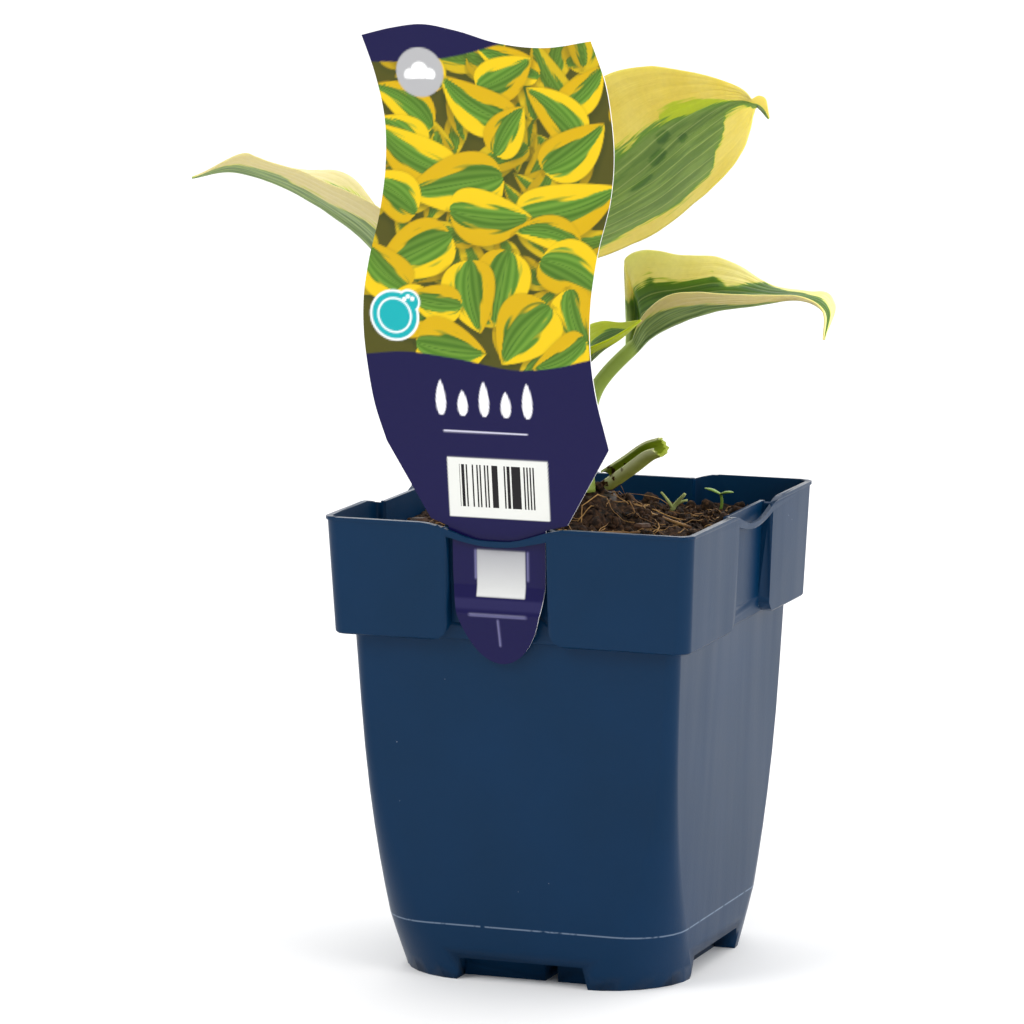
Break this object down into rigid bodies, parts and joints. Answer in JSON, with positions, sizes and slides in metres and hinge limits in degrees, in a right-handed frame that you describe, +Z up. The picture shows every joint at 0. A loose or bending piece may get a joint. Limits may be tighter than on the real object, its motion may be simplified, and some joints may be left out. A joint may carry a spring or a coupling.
{
  "type": "potted hosta plant",
  "caption": "Variegated hosta in a square nursery pot, with growing medium, crown and roots, arching leaves, a cut stalk and a card label in the collar.",
  "frame": {"origin": "centre of the flat foot pad under the pot, on the surface that the pot stands on", "axes": "+Z up; -Y is the front, where the label leans out of the collar; +X to the right seen from the front"},
  "size_m": [0.1868, 0.1256, 0.273],
  "materials": {
    "pot": "injection-moulded polypropylene, satin",
    "medium": "moist peat with coir fibre, matt and crumbly",
    "crown": "fleshy crown and roots, matt",
    "leaf": "variegated leaf, waxy satin, green heart with a cream-yellow margin",
    "cut_stalk": "cut leaf stalk, fibrous satin",
    "label": "printed polypropylene card, gloss",
    "seedling": "seedling, satin",
    "sprig": "moss sprig, matt",
    "straw": "coir straw, matt",
    "bark": "bark chip, matt"
  },
  "bodies": {
    "root": {"pot": "pot", "growing_medium": "medium", "crown_with_roots": "crown", "leaf_upper_right": "leaf", "leaf_lower_right": "leaf", "leaf_left": "leaf", "leaf_small": "leaf", "cut_leaf_stalk": "cut_stalk", "plant_label": "label", "weed_seedling": "seedling", "moss_sprig": "sprig", "straw_1": "straw", "straw_2": "straw", "straw_3": "straw", "straw_4": "straw", "straw_5": "straw", "straw_6": "straw", "straw_7": "straw", "straw_8": "straw", "bark_chip_1": "bark", "bark_chip_2": "bark", "bark_chip_3": "bark"}
  },
  "joints": []
}
